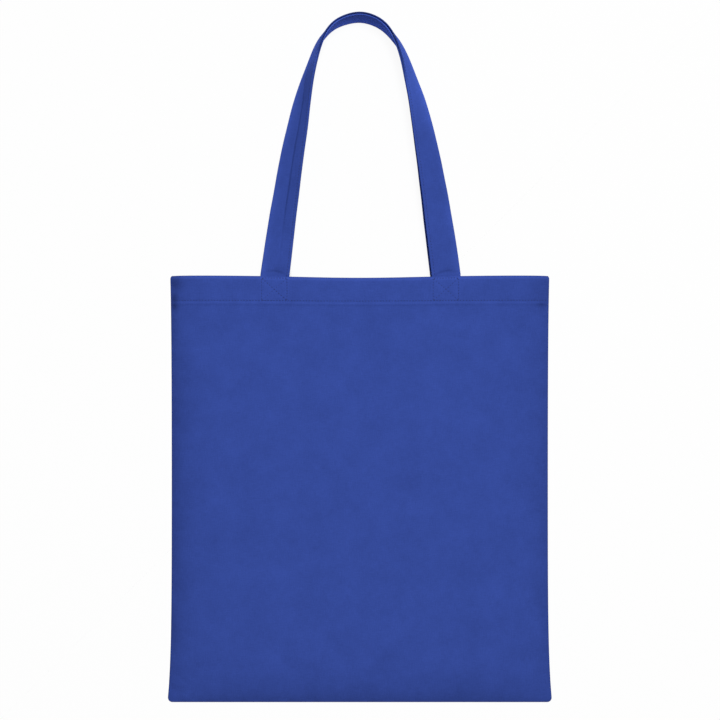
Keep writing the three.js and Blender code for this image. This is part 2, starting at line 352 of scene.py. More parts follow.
# The thread is darker than the cloth: painted shade for the shaded needle holes along each row of stitches
THREAD_PAINTED_SHADE = 0.46
YARN_TWIST_PITCH = 0.6 * MM
YARN_RELIEF = 0.08 * MM
YARN_STRENGTH = 0.5
PLY_GROOVE_SHADE = 0.85
PLY_CROWN_HIGHLIGHT = 1.1

# Stage
FLOOR_SIZE = 30
FLOOR_WHITE = (0.9, 0.9, 0.9)
FLOOR_LIFT = 0.93
# Painted shade on the floor where ambient occlusion finds narrow gaps between the handles
GAP_REACH = 30 * MM
GAP_SAMPLES = 8
GAP_OPENNESS = (0.13, 0.28)
GAP_SHADE_COLOUR = (0.01, 0.015, 0.05)
AMBIENT = 0.14
KEY_PLACE = (0.54, 0.78, 3.89)
KEY_SIZE = 1.3
KEY_POWER = 140
SENSOR_WIDTH = 36
CAMERA_HEIGHT = 1.4
CAMERA_OVER = (0.2 * MM, 0)
VIEW_WIDTH = 711.1 * MM


# Shapes of numbers

def smoothstep(value, low, high):
    share = np.clip((value - low) / (high - low), 0, 1)
    return share * share * (3 - 2 * share)


def hump(value, reach):
    return np.exp(-((value / reach) ** 2))


def clouds(x, y, wavelength, seed, waves=16):
    """Seeded smooth noise with a spread of about 1: plane waves in random directions, added up."""
    rng = np.random.default_rng(seed)
    total = np.zeros(np.broadcast(x, y).shape)
    for _ in range(waves):
        heading, phase = rng.uniform(0, 2 * math.pi, 2)
        pitch = wavelength * rng.uniform(0.7, 1.5)
        total += np.sin(2 * math.pi / pitch * (x * math.cos(heading) + y * math.sin(heading)) + phase)
    return total * math.sqrt(2 / waves)


def ripple(along, wavelength, seed):
    """Seeded smooth noise along a line."""
    rng = np.random.default_rng(seed)
    total = np.zeros(np.shape(along))
    waves = 10
    for _ in range(waves):
        pitch = wavelength * rng.uniform(0.6, 1.8)
        total += np.sin(2 * math.pi / pitch * along + rng.uniform(0, 2 * math.pi))
    return total * math.sqrt(2 / waves)


# Shape of the body

def half_width(y):
    bottom = BOTTOM_FLARE * np.exp(-y / BOTTOM_FLARE_REACH)
    mouth = MOUTH_FLARE * np.exp((y - BODY_LENGTH) / MOUTH_FLARE_REACH)
    return WAIST_HALF_WIDTH + bottom + mouth


def bottom_edge(across):
    width = half_width(0)
    into_corner = np.maximum(0, np.abs(across) * width - (width - CORNER_RADIUS))
    return CORNER_RADIUS - np.sqrt(np.maximum(0, CORNER_RADIUS**2 - into_corner**2))


def mouth_edge(across):
    width = half_width(BODY_LENGTH)
    x = across * width
    into_corner = np.maximum(0, np.abs(x) - (width - MOUTH_CORNER_RADIUS))
    rounded = MOUTH_CORNER_RADIUS - np.sqrt(np.maximum(0, MOUTH_CORNER_RADIUS**2 - into_corner**2))
    return BODY_LENGTH - MOUTH_SAG * np.exp(-((x / MOUTH_SAG_REACH) ** 2)) - rounded


def hem_sag(x):
    return HEM_SAG * np.exp(-((x / MOUTH_SAG_REACH) ** 2))


def panel_place(across, along, roll):
    """Points of a panel in plan, with their distances from its edges and the cloth's normal. across runs
    from -1 to 1 between the side seams, along from 0 to 1 between the bottom seam and the mouth."""
    y = bottom_edge(across) * (1 - along) + mouth_edge(across) * along
    width = half_width(y)
    x = across * width
    from_side = (1 - np.abs(across)) * width
    from_bottom = y - bottom_edge(across)
    drop = mouth_edge(across) - y
    out_x = np.sign(across) * np.maximum(0, 1 - from_side / roll)
    out_y = -np.maximum(0, 1 - from_bottom / roll)
    length = np.maximum(1, np.hypot(out_x, out_y))
    out_x = out_x / length
    out_y = out_y / length
    up = np.sqrt(np.maximum(0, 1 - out_x**2 - out_y**2))
    return SimpleNamespace(
        across=across, along=along, x=x, y=y, from_side=from_side, from_bottom=from_bottom,
        from_seam=np.minimum(from_side, from_bottom), drop=drop, below=BODY_LENGTH - y - hem_sag(x),
        out_x=out_x, out_y=out_y, up=up,
    )


def front_rise(place):
    below_hem_edge = np.maximum(0, BODY_LENGTH * (1 - place.along) - HEM_DEPTH)
    fullness = 1 - MOUTH_CLOSING * hump(below_hem_edge, MOUTH_CLOSING_REACH)
    from_sides = 1 - np.exp(-place.from_side / (SIDE_RISE_REACH * fullness))
    from_bottom = 1 - np.exp(-place.from_bottom / BOTTOM_RISE_REACH)
    up_to_hem = np.minimum(1, place.along / (1 - HEM_DEPTH / BODY_LENGTH))
    crown = np.cos(place.across * math.pi / 2) ** 2 * np.sin(up_to_hem * math.pi) ** 2
    return EDGE_RISE * fullness * from_sides * from_bottom + CROWN_RISE * crown


# Small forms of the sewn cloth

def box_lines():
    """The sewn lines of a boxed cross round its middle: four sides, then two diagonals, each as two ends in
    (across, below the mouth's corners)."""
    left, right = -BOX_HALF_WIDTH, BOX_HALF_WIDTH
    top, bottom = BOX_TOP_DROP, HEM_STITCH_DROP
    return [
        ((left, top), (right, top)), ((right, top), (right, bottom)),
        ((right, bottom), (left, bottom)), ((left, bottom), (left, top)),
        ((left, top), (right, bottom)), ((right, top), (left, bottom)),
    ]


def line_distance(x, y, line):
    (ax, ay), (bx, by) = line
    length = math.hypot(bx - ax, by - ay)
    along = np.clip(((x - ax) * (bx - ax) + (y - ay) * (by - ay)) / length**2, 0, 1)
    return np.hypot(x - ax - along * (bx - ax), y - ay - along * (by - ay))


def hem_relief(place):
    """The hem stands a little proud of the panel, and the thread draws a groove into it. Its edge and its
    row of stitches sag less than the mouth."""
    from_stitches = place.below - HEM_STITCH_DROP
    proud = HEM_PROUD * (1 - smoothstep(place.below, *HEM_STEP))
    lip = HEM_LIP * hump(place.below - HEM_RIDGE, HEM_LIP_WIDTH)
    groove = GROOVE_DEPTH * hump(from_stitches, GROOVE_WIDTH)
    pulled = HEM_PULL * ripple(place.x, HEM_PULL_PITCH, HEM_PULL_SEED) * hump(from_stitches, HEM_PULL_REACH)
    return proud + lip - groove + pulled


def in_box(place, foot):
    """How far inside the end of a handle behind the hem a place is, from 0 to 1."""
    sides = 1 - smoothstep(np.abs(place.x - foot), *BOX_SIDE_STEP)
    return sides * (1 - smoothstep(place.below, *BOX_END_STEP))


def from_box_lines(place, foot):
    return np.min([line_distance(place.x - foot, place.below, line) for line in box_lines()], axis=0)


def box_relief(place):
    """The handle's end fills out the hem behind it, and the boxed cross quilts it."""
    total = np.zeros(np.shape(place.x))
    for foot in HANDLE_FEET:
        inside = in_box(place, foot)
        nearest = from_box_lines(place, foot)
        total += BOX_FILL * inside * (1 - np.exp(-nearest / BOX_FILL_REACH))
        total -= BOX_GROOVE_DEPTH * hump(nearest, GROOVE_WIDTH) * inside
    return total


def pucker_fade(distance, reach):
    return np.exp(-distance / reach) * smoothstep(distance, 0, SEAM_PUCKER_FADE_IN)


def seam_relief(place):
    """The seams draw the cloth into small puckers that fade away from them."""
    right = ripple(place.y, SIDE_PUCKER_PITCH, RIGHT_SEAM_SEED)
    left = ripple(place.y, SIDE_PUCKER_PITCH, LEFT_SEAM_SEED)
    sides = np.where(place.across > 0, right, left) * pucker_fade(place.from_side, SIDE_PUCKER_REACH)
    bottom = ripple(place.x, BOTTOM_PUCKER_PITCH, BOTTOM_SEAM_SEED)
    bottom = bottom * pucker_fade(place.from_bottom, BOTTOM_PUCKER_REACH)
    return SEAM_PUCKER * (sides + bottom) * smoothstep(place.from_seam, 0, SEAM_PUCKER_START)


def corner_dents(place):
    """Depth of the dents at the corners of the mouth."""
    total = np.zeros(np.shape(place.x))
    for side, inset, drop, across, down, depth in CORNER_DENTS:
        from_side = np.where(place.across * side > 0, place.from_side, FAR_AWAY)
        total += depth * hump(from_side - inset, across) * hump(place.drop - drop, down)
    return total


def soft_waves(place):
    """The cloth's own slight unevenness."""
    broad = BROAD_WAVE * clouds(place.x, place.y, BROAD_WAVE_PITCH, BROAD_WAVE_SEED)
    broad = broad * smoothstep(place.drop, *BROAD_WAVE_DROPS)
    fine = FINE_WAVE * clouds(place.x, place.y, FINE_WAVE_PITCH, FINE_WAVE_SEED)
    return (broad + fine) * smoothstep(place.from_seam, 0, WAVE_START)


def front_surface(across, along):
    """Places on the outer face of the front panel, with their points and the directions out of it."""
    place = panel_place(across, along, FRONT_ROLL)
    dents = corner_dents(place) * smoothstep(place.from_side, 0, DENT_START)
    relief = hem_relief(place) + box_relief(place) + seam_relief(place) - dents
    relief = (relief + soft_waves(place)) * smoothstep(place.from_seam, 0, RELIEF_START)
    z = SEAM_HEIGHT + FRONT_ROLL * place.up + front_rise(place) + relief
    points = np.stack([place.x, place.y + BOTTOM_Y, z], -1)
    return place, points, np.stack([place.out_x, place.out_y, place.up], -1)


def back_surface(across, along):
    """The same for the back panel, which lies on the floor with a few rucks and is drawn up along its sewn
    lines."""
    place = panel_place(across, along, BACK_ROLL)
    ruck = RUCK * np.maximum(0, clouds(place.x, place.y, RUCK_PITCH, RUCK_SEED))
    ruck = ruck * smoothstep(place.from_seam, *RUCK_START)
    ruck = ruck * smoothstep(place.drop, HEM_DEPTH, 2 * HEM_DEPTH)
    from_boxes = [from_box_lines(place, foot) for foot in HANDLE_FEET]
    sewn = np.min([np.abs(place.below - HEM_STITCH_DROP)] + from_boxes, axis=0)
    groove = BACK_GROOVE_DEPTH * hump(sewn, GROOVE_WIDTH)
    z = BACK_SEAM_HEIGHT * (1 - place.up) + ruck + groove
    points = np.stack([place.x, place.y + BOTTOM_Y, z], -1)
    return place, points, np.stack([place.out_x, place.out_y, -place.up], -1)


# Tone of the panels: painted light and shade

def front_painted_light(place):
    """Painted highlights along the mouth, along the hem's ridge and over the handles' ends, and painted
    shade under the hem's ridge, along the seams, at the ends of the hem and in the dents at the corners of
    the mouth."""
    # painted highlight along the mouth's rolled edge
    mouth = MOUTH_EDGE_HIGHLIGHT * hump(place.drop - MOUTH_EDGE_DROP, MOUTH_EDGE_WIDTH)
    mouth = mouth + MOUTH_HIGHLIGHT * np.exp(-place.drop / MOUTH_HIGHLIGHT_REACH)
    # painted highlight on the hem's ridge and painted shade just under it
    ridge = RIDGE_HIGHLIGHT * hump(place.below - HEM_RIDGE, RIDGE_HIGHLIGHT_WIDTH)
    under_ridge = UNDER_RIDGE_SHADE * hump(place.below - HEM_RIDGE - UNDER_RIDGE_DROP, UNDER_RIDGE_WIDTH)
    # painted highlight over the handles' ends
    boxes = sum(BOX_HIGHLIGHT * in_box(place, foot) for foot in HANDLE_FEET)
    # painted shade along the side and bottom seams
    side_reach = np.where(place.across > 0, RIGHT_SEAM_SHADE_REACH, LEFT_SEAM_SHADE_REACH)
    sides = SIDE_SEAM_SHADE * np.exp(-place.from_side / side_reach)
    bottom = BOTTOM_SEAM_SHADE * np.exp(-place.from_bottom / BOTTOM_SEAM_SHADE_REACH)
    # painted shade on the hem towards the sides
    hem_ends = HEM_END_SHADE * (1 - smoothstep(place.from_side, *HEM_END_SIDES))
    hem_ends = hem_ends * (1 - smoothstep(place.below, *HEM_END_DROPS))
    # painted shade in the corner dents
    dents = -DENT_SHADE * corner_dents(place)
    return mouth + ridge + under_ridge + boxes + sides + bottom + hem_ends + dents


def plain_tone(place):
    """The dye's own tone all over."""
    return np.zeros(np.shape(place.x))


# Meshes

def new_piece(name, verts, faces, uv, material, tone=None):
    """A smooth-shaded closed mesh with its flat cloth coordinates and its tone of painted light and shade,
    riding on the bag.
    """
    mesh = bpy.data.meshes.new(name)
    mesh.from_pydata(verts.tolist(), [], faces)
    layer = mesh.uv_layers.new(name="cloth")
    corner_verts = np.empty(len(mesh.loops), dtype=np.int32)
    mesh.loops.foreach_get("vertex_index", corner_verts)
    layer.uv.foreach_set("vector", uv[corner_verts].astype(np.float32).ravel())
    if tone is not None:
        tones = mesh.attributes.new("tone", "FLOAT", "POINT").data
        tones.foreach_set("value", tone.astype(np.float32).ravel())
    whole = bmesh.new()
    whole.from_mesh(mesh)
    bmesh.ops.triangulate(whole, faces=[face for face in whole.faces if len(face.verts) > 4])
    bmesh.ops.recalc_face_normals(whole, faces=whole.faces)
    whole.to_mesh(mesh)
    whole.free()
    mesh.shade_smooth()
    mesh.set_sharp_from_angle(angle=SHARP_EDGE)
    piece = bpy.data.objects.new(name, mesh)
    bpy.context.scene.collection.objects.link(piece)
    piece.data.materials.append(material)
    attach(piece, "root")
    return piece


def loft(name, rings, uv, material, tone=None):
    """A closed mesh through rings of points, with flat ends."""
    count, size, _ = rings.shape
    index = np.arange(count * size).reshape(count, size)
    turned = np.roll(index, -1, axis=1)
    quads = np.stack([index[:-1], turned[:-1], turned[1:], index[1:]], -1).reshape(-1, 4).tolist()
    ends = [index[0][::-1].tolist(), index[-1].tolist()]
    return new_piece(name, rings.reshape(-1, 3), quads + ends, uv.reshape(-1, 2), material, tone)


def spaced(start, end, step):
    """Values from start up to end, not quite step apart, without the end."""
    count = max(1, int(round((end - start) / step)))
    return start + (end - start) * np.arange(count) / count


def edge_distances(roll):
    """Distances from a sewn edge, close together over its roll and its seam allowance."""
    turn = roll * (1 - np.cos(np.linspace(0, math.pi / 2, ROLL_ROWS)))
    return np.concatenate([turn, spaced(roll + EDGE_START, EDGE_BAND, EDGE_STEP)])


def panel_columns(roll, step):
    """Shares of the half width from -1 to 1, closer at the sides and at the handles' ends."""
    width = half_width(BODY_LENGTH)
    box = HANDLE_WIDTH / 2 + BOX_MARGIN
    edges = edge_distances(roll)
    middle = np.concatenate([
        spaced(0, MEAN_FOOT - box, step),
        spaced(MEAN_FOOT - box, MEAN_FOOT + box, BOX_COLUMN_STEP),
        spaced(MEAN_FOOT + box, width - edges[-1], step),
    ])
    right = np.concatenate([middle, (width - edges)[::-1]]) / width
    return np.concatenate([-right[:0:-1], right])


def panel_profile(roll, step):
    """Section of a panel, up its outer face, over the mouth, down the hem inside and down its inner face:
    drops below the mouth, depths under the outer face, and where the seam allowance adds a layer."""
    fold = HEM_THICKNESS / 2
    turn = np.linspace(0, math.pi, FOLD_ROWS)
    edge = (HEM_THICKNESS - CLOTH) / 2
    hem_end = HEM_DEPTH + HEM_MARGIN
    body_end = BODY_LENGTH - EDGE_BAND
    hem_rows = spaced(fold + HEM_ROW_START, hem_end, HEM_ROW_STEP)
    bottom_rows = BODY_LENGTH - edge_distances(roll)[::-1]
    outer = np.concatenate([hem_rows, spaced(hem_end, body_end, step), bottom_rows])[::-1]
    hem_inside = spaced(fold + HEM_INSIDE_START, HEM_DEPTH - edge, HEM_INSIDE_STEP)
    inner = np.concatenate([spaced(HEM_DEPTH, body_end, 2 * step), bottom_rows])
    drops = [
        outer, fold * (1 - np.sin(turn)), hem_inside, HEM_DEPTH - edge + edge * np.sin(turn), inner,
    ]
    depths = [
        0 * outer, fold * (1 - np.cos(turn)), 0 * hem_inside + HEM_THICKNESS,
        HEM_THICKNESS - edge + edge * np.cos(turn), 0 * inner + CLOTH,
    ]
    layered = [0 * part for part in drops[:-1]] + [0 * inner + 1]
    return np.concatenate(drops), np.concatenate(depths), np.concatenate(layered)


def panel(name, surface, tone, roll, step, material):
    """A panel of cloth with its turned hem and its seam allowance."""
    columns = panel_columns(roll, step)[:, None]
    drops, depths, layered = panel_profile(roll, step)
    along = 1 - drops[None, :] / BODY_LENGTH
    across, along = np.broadcast_arrays(columns, along)
    place, outer, normal = surface(across, along)
    allowance = 1 - smoothstep(place.from_seam, SEAM_ALLOWANCE - CLOTH, SEAM_ALLOWANCE + CLOTH)
    depth = depths + CLOTH * layered * allowance
    rings = outer - depth[..., None] * normal
    uv = np.stack([place.x, np.broadcast_to(drops, across.shape) + depth], -1)
    return loft(name, rings, uv, material, tone(place))


# Handles

def handle_route(half):
    """Route of one half of the loop in plan, from its foot to the top, as if on the right: points and
    headings, and the lengths up to them."""
    foot = np.array([half.foot, BODY_LENGTH])
    top = HANDLE_TOP * [half.mirror, 1]
    lean = np.array([-math.sin(half.lean), math.cos(half.lean)])
    ends = [foot, foot + half.foot_pull * lean, top + [half.top_pull, 0], top]
    t = np.linspace(0, 1, ROUTE_POINTS)[:, None]
    shares = [(1 - t) ** 3, 3 * (1 - t) ** 2 * t, 3 * (1 - t) * t**2, t**3]
    points = sum(share * end for share, end in zip(shares, ends))
    points[:, 1] += HANDLE_PEAK * hump(points[:, 0] - top[0], HANDLE_PEAK_REACH)
    lengths = np.concatenate([[0], np.cumsum(np.hypot(*np.diff(points, axis=0).T))])
    return SimpleNamespace(points=points, headings=np.gradient(points, axis=0), lengths=lengths)


for half in (LEFT, RIGHT):
    half.route = handle_route(half)
    half.length = half.route.lengths[-1]


def half_frame(from_foot, half, handle):
    """Centre, direction across and direction out of the face of one half, at distances from its foot."""
    free = np.clip(from_foot, 0, half.length)
    way = free / half.length
    plan = np.stack([np.interp(free, half.route.lengths, half.route.points[:, i]) for i in (0, 1)], -1)
    heading = np.stack([np.interp(free, half.route.lengths, half.route.headings[:, i]) for i in (0, 1)], -1)
    heading = heading / np.linalg.norm(heading, axis=-1, keepdims=True)
    heading = np.where((from_foot < 0)[..., None], [0, 1], heading)
    inward = np.stack([-heading[..., 1], heading[..., 0], 0 * way], -1)
    begun = np.hypot(way, half.twist_ease_at_foot) - half.twist_ease_at_foot
    left = np.hypot(1 - way, half.twist_ease_at_top) - half.twist_ease_at_top
    shoulder_at_top = hump(1 - SHOULDER_WAY, SHOULDER_REACH)
    shoulder = hump(way - SHOULDER_WAY, SHOULDER_REACH) - shoulder_at_top * way**SHOULDER_END_POWER
    twist = handle.twist * begun / (begun + left) + handle.swing[half.mirror] * shoulder
    twist = np.maximum(0, twist - half.slack * hump(way - SLACK_WAY, SLACK_REACH))
    up = np.array([0, 0, 1])
    cosine, sine = np.cos(twist)[..., None], np.sin(twist)[..., None]
    across = cosine * inward + sine * up
    through = cosine * up - sine * inward
    on_edge = HANDLE_WIDTH / 2 * np.sin(twist) + HANDLE_THICKNESS / 2 * np.abs(np.cos(twist))
    lift = handle.foot_height * (1 - smoothstep(way, 0, handle.settles_by))
    spacing = half.spacing_at_foot + (HANDLE_SPACING_AT_TOP - half.spacing_at_foot) * way
    spacing = spacing + half.spacing_at_shoulder * shoulder
    bow = half.back_bow * hump(way - BOW_WAY, BOW_REACH) * (handle.side < 0)
    centre = np.stack([plan[..., 0], plan[..., 1] + np.minimum(0, from_foot) + BOTTOM_Y, on_edge + lift], -1)
    centre = centre - inward * (handle.side * spacing / 2 + bow)[..., None]
    mirror = [half.mirror, 1, 1]
    return np.stack([centre * mirror, across * mirror, through * mirror])


def half_length(distance):
    return np.where(distance < 0, LEFT.length, RIGHT.length)


def handle_frame(distance, handle):
    """Centre, direction across and direction out of the face at signed distances from the top of the loop,
    positive on the right half."""
    from_foot = half_length(distance) - np.abs(distance)
    on_left = (distance < 0)[..., None]
    return np.where(on_left, half_frame(from_foot, LEFT, handle), half_frame(from_foot, RIGHT, handle))


def arc(centre, radius, start, end, count):
    angles = np.radians(np.linspace(start, end, count))
    return np.stack([centre[0] + radius * np.cos(angles), centre[1] + radius * np.sin(angles)], -1)


def run(start, end, n, count):
    return np.stack([np.linspace(start, end, count), np.full(count, n)], -1)


def folded_section():
    """Section of a handle: one strip with both edges turned in and then folded in half. Gives the closed
    outline of the cloth, across the width and through the thickness, and its place along the strip's own
    width."""
    side = HANDLE_WIDTH / 2
    layer = HANDLE_THICKNESS / 4
    raw = RAW_EDGE_GAP - side
    tight, wide = layer / 2, 1.5 * layer
    bend, back = side - layer, 2 * layer - side
    path = np.concatenate([
        run(raw, bend - FOLD_EASE, tight, TURNED_IN_POINTS),
        arc((bend, layer), tight, -90, 90, TIGHT_FOLD_POINTS),
        run(bend - FOLD_EASE, back + FOLD_EASE, wide, FACE_POINTS),
        arc((back, 0), wide, 90, 270, WIDE_FOLD_POINTS),
        run(back + FOLD_EASE, bend - FOLD_EASE, -wide, FACE_POINTS),
        arc((bend, -layer), tight, -90, 90, TIGHT_FOLD_POINTS),
        run(bend - FOLD_EASE, raw, -tight, TURNED_IN_POINTS),
    ])
    heading = np.gradient(path, axis=0)
    heading = heading / np.linalg.norm(heading, axis=1, keepdims=True)
    normal = np.stack([-heading[:, 1], heading[:, 0]], -1)
    half = LAYER_HALF_SHARE * layer
    place = np.concatenate([[0], np.cumsum(np.hypot(*np.diff(path, axis=0).T))])
    outline = np.concatenate([path + half * normal, (path - half * normal)[::-1]])
    return outline, np.concatenate([place, place[::-1]])


def crease_line(way):
    """Place of the crease across the strip."""
    start, end = CREASE_LEAVES
    leaving = np.clip((way - start) / (end - start), 0, CREASE_FURTHEST)
    return CREASE_ACROSS - (CREASE_ACROSS + HANDLE_WIDTH / 2) * leaving


def handle_crease(across, way):
    """Depth of the crease: a shallow valley between the strip's two edges, lowest along one line."""
    side = HANDLE_WIDTH / 2
    line = crease_line(way)
    outer = (across + side) / (line + side)
    inner = (side - across) / (side - line)
    gap = inner - outer
    valley = 0.5 * (inner + outer - np.sqrt(gap**2 + (CREASE_SOFTNESS / side) ** 2))
    depth = CREASE_DEPTH_AT_FOOT + (CREASE_DEPTH_AT_TOP - CREASE_DEPTH_AT_FOOT) * way
    fade = smoothstep(way, *CREASE_STARTS) * (1 - smoothstep(way, *CREASE_ENDS))
    mark = CREASE_MARK * hump(across - line, CREASE_MARK_WIDTH)
    return (depth * valley + mark) * fade


def foot_pucker(across, height):
    """A short bowed dent across the strip just above the mouth, where it bends over the hem."""
    bow = FOOT_PUCKER_HEIGHT - FOOT_PUCKER_BOW * (across / FOOT_PUCKER_BOW_REACH) ** 2
    return FOOT_PUCKER * hump(height - bow, FOOT_PUCKER_WIDTH) * hump(across, FOOT_PUCKER_REACH)


def rising(way, tone, start, end):
    """A tone that comes in between two shares of the way up."""
    return tone * smoothstep(way, start, end)


def left_face_painted_light(way, height, across, outer):
    """Painted highlight towards the shoulder, painted shade in the crease, and a painted shadow at one spot
    above the mouth.
    """
    line = crease_line(way)
    # painted shade in the crease and on its inner side
    crease = CREASE_SHADE * hump(across - line, CREASE_SHADE_WIDTH)
    crease = crease + CREASE_SIDE_SHADE * smoothstep(across, line, line + CREASE_SIDE_REACH)
    creased = smoothstep(way, *CREASE_SHADE_STARTS) * (1 - smoothstep(way, *CREASE_SHADE_ENDS))
    # painted shadow at one spot just above the mouth
    spot = hump(across - FOOT_SPOT_PLACE[0], FOOT_SPOT_REACH[0])
    spot = spot * hump(height - FOOT_SPOT_PLACE[1], FOOT_SPOT_REACH[1])
    # painted highlight as the strip turns towards the shoulder
    turn = sum(rising(way, *step) for step in LEFT_TURN_HIGHLIGHTS)
    return turn + outer * rising(way, *LEFT_OUTER_HIGHLIGHT) + crease * creased + FOOT_SHADOW * spot


def right_face_painted_light(way, outer):
    """Painted highlight towards the shoulder."""
    # painted highlight as the strip turns towards the shoulder
    turn = sum(rising(way, *step) for step in RIGHT_TURN_HIGHLIGHTS)
    return turn + outer * rising(way, *RIGHT_OUTER_HIGHLIGHT)


def front_handle_painted_light(distance, across):
    """The painted light and shade of both halves up to the top: a painted highlight along the outer edge,
    and painted shade in the dents above the mouth and along the edge that is uppermost at the top."""
    height = half_length(distance) - np.abs(distance)
    way = height / half_length(distance)
    on_left = distance < 0
    side = HANDLE_WIDTH / 2
    # painted highlight over the outer part and the outer edge
    outer = 1 - smoothstep(across, -side, OUTER_PART * side)
    face = np.where(on_left, left_face_painted_light(way, height, across, outer), right_face_painted_light(way, outer))
    face = face + OUTER_EDGE_HIGHLIGHT * (1 - smoothstep(across, -side, OUTER_EDGE_PART * side))
    # painted shade in the bowed dent above the mouth
    pucker = FOOT_PUCKER_SHADE * foot_pucker(across, height)
    # painted shade along the edge that is uppermost at the top
    dark_edge = np.where(on_left, rising(way, *LEFT_EDGE_SHADE_STEP), rising(way, *RIGHT_EDGE_SHADE_STEP))
    at_edge = smoothstep(across, *(side - inset for inset in TOP_EDGE_INSETS))
    top_edge = (rising(way, *TOP_EDGE_STEP) + dark_edge) * at_edge
    return face * (1 - smoothstep(way, *FACE_TONE_ENDS)) + pucker + top_edge


def back_handle_painted_light(distance, across):
    """Painted highlight at the shoulders and towards the lower edge, and less of it at the top of the loop.
    """
    way = 1 - np.abs(distance) / half_length(distance)
    left = 1 - smoothstep(way, *BACK_LEFT_TURN_ENDS)
    right = 1 - smoothstep(way, *BACK_RIGHT_TURN_ENDS)
    lower = 1 - smoothstep(across, -HANDLE_WIDTH / 2, HANDLE_WIDTH / 4)
    # painted highlight on the back handle's inner face
    turning = BACK_HIGHLIGHT + BACK_LOWER_HIGHLIGHT * lower + BACK_TURN_HIGHLIGHT * np.where(distance < 0, left, right)
    return turning * smoothstep(way, *BACK_HIGHLIGHT_STARTS)


def handle_bend(across, distance):
    """How far the strip's middle stands out of its flat section."""
    height = half_length(distance) - np.abs(distance)
    way = height / half_length(distance)
    crease = np.where(distance < 0, handle_crease(across, way), 0)
    waves = HANDLE_WAVE * ripple(distance, HANDLE_WAVE_PITCH, HANDLE_WAVE_SEED)
    waves = waves * smoothstep(way, *HANDLE_WAVE_STARTS)
    return waves - crease - foot_pucker(across, height)


def handle_point(distance, across, through, handle):
    """Places on a handle from its own coordinates, with the thread's groove pressed into it."""
    centre, across_axis, through_axis = handle_frame(distance, handle)
    stitch = HANDLE_WIDTH / 2 - HANDLE_STITCH_INSET
    pressed = 1 - HANDLE_GROOVE_SHARE * hump(across - stitch, GROOVE_WIDTH)
    out = through * pressed + handle_bend(across, distance)
    return centre + across_axis * across[..., None] + through_axis * out[..., None], through_axis


def half_distances(half):
    """Distances from the top of the loop down to a handle's end, close together at its foot."""
    bend = half.length - FOOT_BAND
    end = half.length + HANDLE_SEWN_LENGTH
    return np.concatenate([
        spaced(0, bend, HANDLE_STEP),
        spaced(bend, half.length, FOOT_STEP),
        spaced(half.length, end, SEWN_STEP),
        [end],
    ])


def handle(name, kind, tone, material):
    """A handle: its folded section carried round the loop."""
    section, strip_place = folded_section()
    distances = np.concatenate([-half_distances(LEFT)[:0:-1], half_distances(RIGHT)])[:, None]
    distance, across = np.broadcast_arrays(distances, section[None, :, 0])
    through = np.broadcast_to(section[None, :, 1], distance.shape)
    rings, _ = handle_point(distance, across, through, kind)
    uv = np.stack([np.broadcast_to(strip_place, distance.shape), distance], -1)
    return loft(name, rings, uv, material, tone(distance, across))


# Thread

def thread(name, starts, ends, normals, material):
    """Stitches as short lengths of thread, each dipping into the cloth at both ends."""
    shares = np.array([0, 0.14, 0.5, 0.86, 1.0])
    heights = np.array([-1.1, 0.35, 0.6, 0.35, -1.1]) * THREAD_RADIUS
    widths = np.array([0.55, 1, 1.08, 1, 0.55]) * THREAD_RADIUS
    way = ends - starts
    length = np.linalg.norm(way, axis=1, keepdims=True)
    beside = np.cross(normals, way / length)
    angle = 2 * math.pi * np.arange(THREAD_SIDES) / THREAD_SIDES
    ring = np.cos(angle)[:, None, None] * beside + np.sin(angle)[:, None, None] * normals
    path = starts[:, None] + shares[:, None] * way[:, None] + heights[:, None] * normals[:, None]
    verts = path[:, :, None] + widths[:, None, None] * np.moveaxis(ring, 0, 1)[:, None]
    count, rings = len(starts), len(shares)
    index = np.arange(count * rings * THREAD_SIDES).reshape(count, rings, THREAD_SIDES)
    turned = np.roll(index, -1, axis=2)
    quads = np.stack([index[:, :-1], turned[:, :-1], turned[:, 1:], index[:, 1:]], -1)
    closed_ends = index[:, 0, ::-1].tolist() + index[:, -1].tolist()
    uv_along = np.broadcast_to((shares[:, None] * length[:, None]), (count, rings, 1))
    uv = np.stack(np.broadcast_arrays(uv_along, angle / (2 * math.pi) * THREAD_GIRTH), -1)
    faces = quads.reshape(-1, 4).tolist() + closed_ends
    return new_piece(name, verts.reshape(-1, 3), faces, uv.reshape(-1, 2), material)


def stitches_on_line(start, end):
    """Both ends of each stitch along a straight sewn line."""
    start, end = np.array(start), np.array(end)
    length = np.linalg.norm(end - start)
    count = max(1, int(round(length / STITCH_PITCH)))
    first = (np.arange(count) + 0.5)[:, None] / count
    half = 0.5 * STITCH_LENGTH / length
    return start + (first - half) * (end - start), start + (first + half) * (end - start)


def on_panel(surface, spots, depth):
    """Points and outward normals of a panel at (x, below the mouth's corners), on its outer face or a depth
    under it."""
    y = BODY_LENGTH - spots[:, 1] - hem_sag(spots[:, 0])
    across = spots[:, 0] / half_width(y)
    low = bottom_edge(across)
    along = (y - low) / (mouth_edge(across) - low)
    _, outer, normal = surface(across, along)
    return outer - depth * normal, normal


def panel_stitches(surface, lines, face_depth, facing):
    """Stitch ends and normals along lines of a panel, on the face at a depth. facing is 1 outside and -1
    inside."""
    pairs = [stitches_on_line(*line) for line in lines]
    starts = np.concatenate([pair[0] for pair in pairs])
    ends = np.concatenate([pair[1] for pair in pairs])
    begin, normal = on_panel(surface, starts, face_depth)
    end, _ = on_panel(surface, ends, face_depth)
    return begin, end, facing * normal


def joined(*groups):
    return [np.concatenate(parts) for parts in zip(*groups)]


